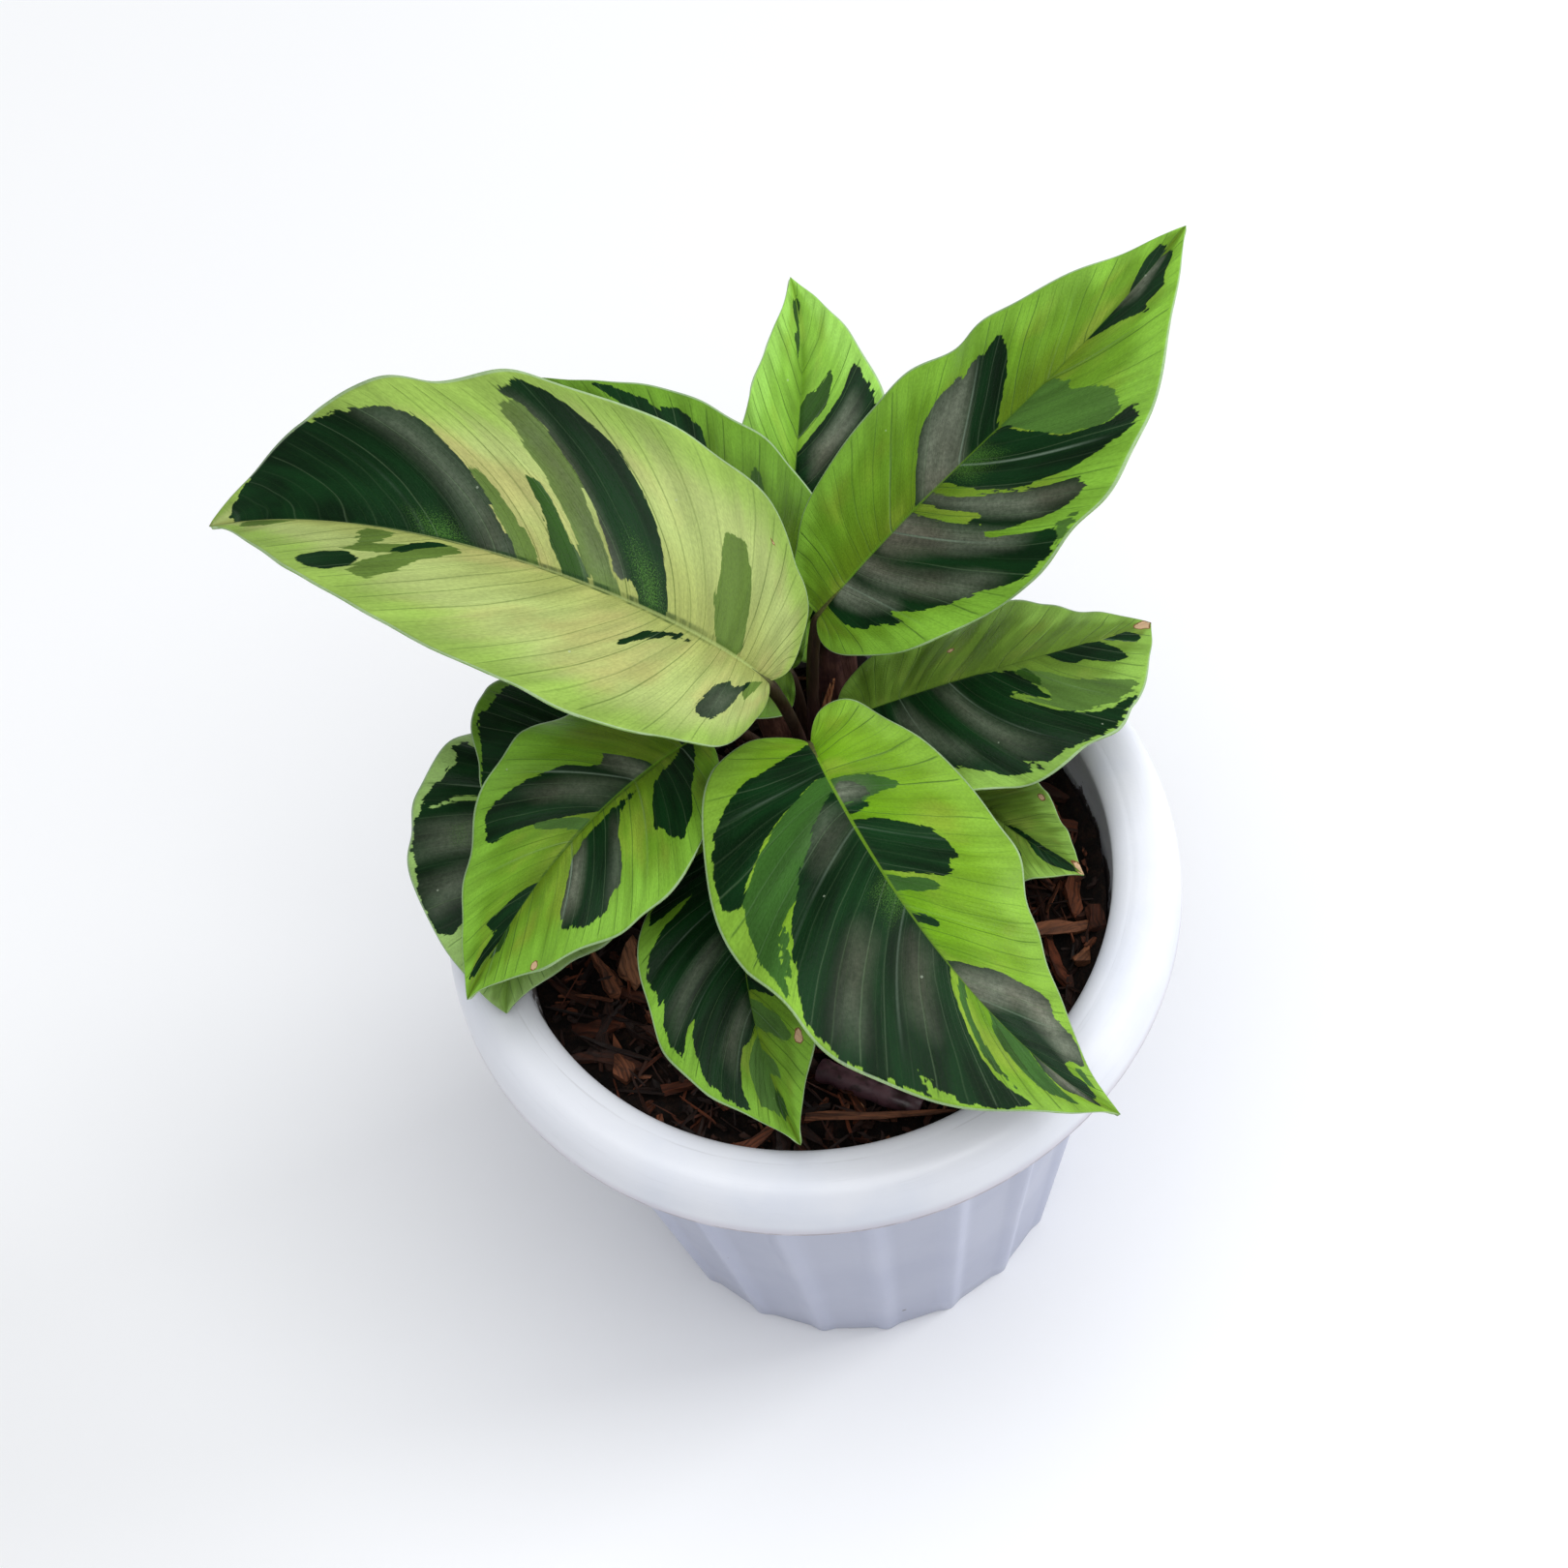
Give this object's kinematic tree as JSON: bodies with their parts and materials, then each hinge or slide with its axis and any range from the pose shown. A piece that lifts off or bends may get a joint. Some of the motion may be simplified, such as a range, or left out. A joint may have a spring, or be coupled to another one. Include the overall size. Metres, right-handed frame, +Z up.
{
  "type": "potted prayer plant",
  "caption": "Young prayer plant with broad pointed yellow-green leaves splashed dark green, standing in bark compost in a ribbed white plastic pot with a rolled rim.",
  "frame": {"origin": "centre of the pot's flat base, on the surface that the pot stands on", "axes": "+Z up through the pot's axis; -Y towards the viewer, +X to the viewer's right"},
  "size_m": [0.169, 0.1622, 0.198],
  "materials": {
    "white_plastic": "satin white moulded plastic, slightly soiled",
    "compost": "moist dark compost with bark and wood chips",
    "stalk": "smooth purple-brown and olive leaf stalks",
    "blade_face": "yellow-green blade splashed with dark green and grey, satin sheen"
  },
  "bodies": {
    "root": {"pot": "white_plastic", "soil": "compost", "stalk_stub": "stalk", "crown_and_stalks": "stalk", "blade_left_high": "blade_face", "blade_right_high": "blade_face", "blade_back": "blade_face", "blade_back_left": "blade_face", "blade_right": "blade_face", "blade_front_right": "blade_face", "blade_front_left": "blade_face", "blade_front": "blade_face", "blade_right_low": "blade_face", "blade_left_low": "blade_face", "blade_left_inner": "blade_face"}
  },
  "joints": []
}
